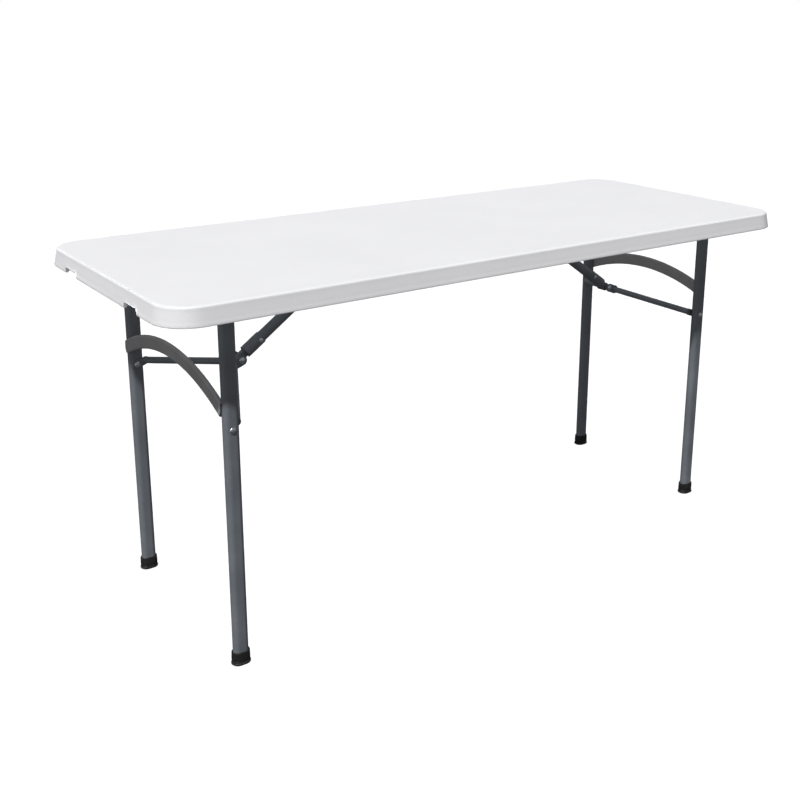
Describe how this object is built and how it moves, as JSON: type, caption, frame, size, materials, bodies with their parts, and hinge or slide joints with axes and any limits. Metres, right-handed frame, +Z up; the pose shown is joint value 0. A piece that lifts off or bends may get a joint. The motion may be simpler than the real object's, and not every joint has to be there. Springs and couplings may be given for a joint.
{
  "type": "folding table",
  "caption": "Rectangular moulded plastic folding table on two tubular leg frames with arched cross braces and central Y-shaped locking braces.",
  "frame": {"origin": "centre of the footprint on the floor, under the middle of the top", "axes": "+X along the table's length, +Y across its width, +Z up"},
  "size_m": [1.524, 0.61, 0.72],
  "materials": {
    "white_hdpe": "fine grained white blow-moulded polyethylene",
    "slate_coating": "satin slate grey powder coat",
    "black_plastic": "moulded black plastic",
    "zinc_steel": "bright zinc plated"
  },
  "bodies": {
    "table_top": {"table_top": "white_hdpe", "pivot_bracket_left_front": "black_plastic", "pivot_bracket_left_back": "black_plastic", "pivot_bracket_right_front": "black_plastic", "pivot_bracket_right_back": "black_plastic", "pivot_screws_left": "zinc_steel", "pivot_screws_right": "zinc_steel", "anchor_bracket_left": "slate_coating", "anchor_bracket_right": "slate_coating", "anchor_pin_left": "zinc_steel", "anchor_pin_right": "zinc_steel", "anchor_screws_left": "zinc_steel", "anchor_screws_right": "zinc_steel"},
    "leg_frame_left": {"crossbar_left": "slate_coating", "leg_left_front": "slate_coating", "leg_left_back": "slate_coating", "arch_brace_left": "slate_coating", "foot_cap_left_front": "black_plastic", "foot_cap_left_back": "black_plastic", "leg_rivets_left": "zinc_steel"},
    "leg_frame_right": {"crossbar_right": "slate_coating", "leg_right_front": "slate_coating", "leg_right_back": "slate_coating", "arch_brace_right": "slate_coating", "foot_cap_right_front": "black_plastic", "foot_cap_right_back": "black_plastic", "leg_rivets_right": "zinc_steel"},
    "v_brace_left": {"v_strut_left_front": "slate_coating", "v_strut_left_back": "slate_coating", "hinge_rivets_left": "zinc_steel"},
    "v_brace_right": {"v_strut_right_front": "slate_coating", "v_strut_right_back": "slate_coating", "hinge_rivets_right": "zinc_steel"},
    "upper_strut_left": {"upper_strut_left": "slate_coating", "strut_eye_left": "slate_coating", "hinge_pin_left": "zinc_steel"},
    "upper_strut_right": {"upper_strut_right": "slate_coating", "strut_eye_right": "slate_coating", "hinge_pin_right": "zinc_steel"},
    "lock_collar_left": {"lock_collar_left": "slate_coating", "collar_rivet_left": "zinc_steel"},
    "lock_collar_right": {"lock_collar_right": "slate_coating", "collar_rivet_right": "zinc_steel"}
  },
  "joints": [
    {"name": "leg_fold_left", "type": "hinge", "parent": "table_top", "child": "leg_frame_left", "pos_m": [-0.622, 0, 0.671], "axis": [0, -1, 0], "range_deg": [0, 90]},
    {"name": "v_brace_turn_left", "type": "hinge", "parent": "leg_frame_left", "child": "v_brace_left", "pos_m": [-0.622, 0, 0.465], "axis": [0, -1, 0], "range_deg": [0, 64.43]},
    {"name": "strut_turn_left", "type": "hinge", "parent": "table_top", "child": "upper_strut_left", "pos_m": [-0.25511, 0, 0.682], "axis": [0, 1, 0], "range_deg": [0, 35.42]},
    {"name": "collar_slide_left", "type": "slide", "parent": "upper_strut_left", "child": "lock_collar_left", "axis": [0.817, 0, 0.5766], "range_m": [0, 0.04]},
    {"name": "leg_fold_right", "type": "hinge", "parent": "table_top", "child": "leg_frame_right", "pos_m": [0.622, 0, 0.671], "axis": [0, 1, 0], "range_deg": [0, 90]},
    {"name": "v_brace_turn_right", "type": "hinge", "parent": "leg_frame_right", "child": "v_brace_right", "pos_m": [0.622, 0, 0.465], "axis": [0, 1, 0], "range_deg": [0, 64.43]},
    {"name": "strut_turn_right", "type": "hinge", "parent": "table_top", "child": "upper_strut_right", "pos_m": [0.25511, 0, 0.682], "axis": [0, -1, 0], "range_deg": [0, 35.42]},
    {"name": "collar_slide_right", "type": "slide", "parent": "upper_strut_right", "child": "lock_collar_right", "axis": [-0.817, 0, 0.5766], "range_m": [0, 0.04]}
  ],
  "couplings": [
    {"joint": "v_brace_turn_left", "follows": "leg_fold_left", "ratio": 0.71583},
    {"joint": "strut_turn_left", "follows": "leg_fold_left", "ratio": 0.3934},
    {"joint": "v_brace_turn_right", "follows": "leg_fold_right", "ratio": 0.71583},
    {"joint": "strut_turn_right", "follows": "leg_fold_right", "ratio": 0.3934}
  ]
}
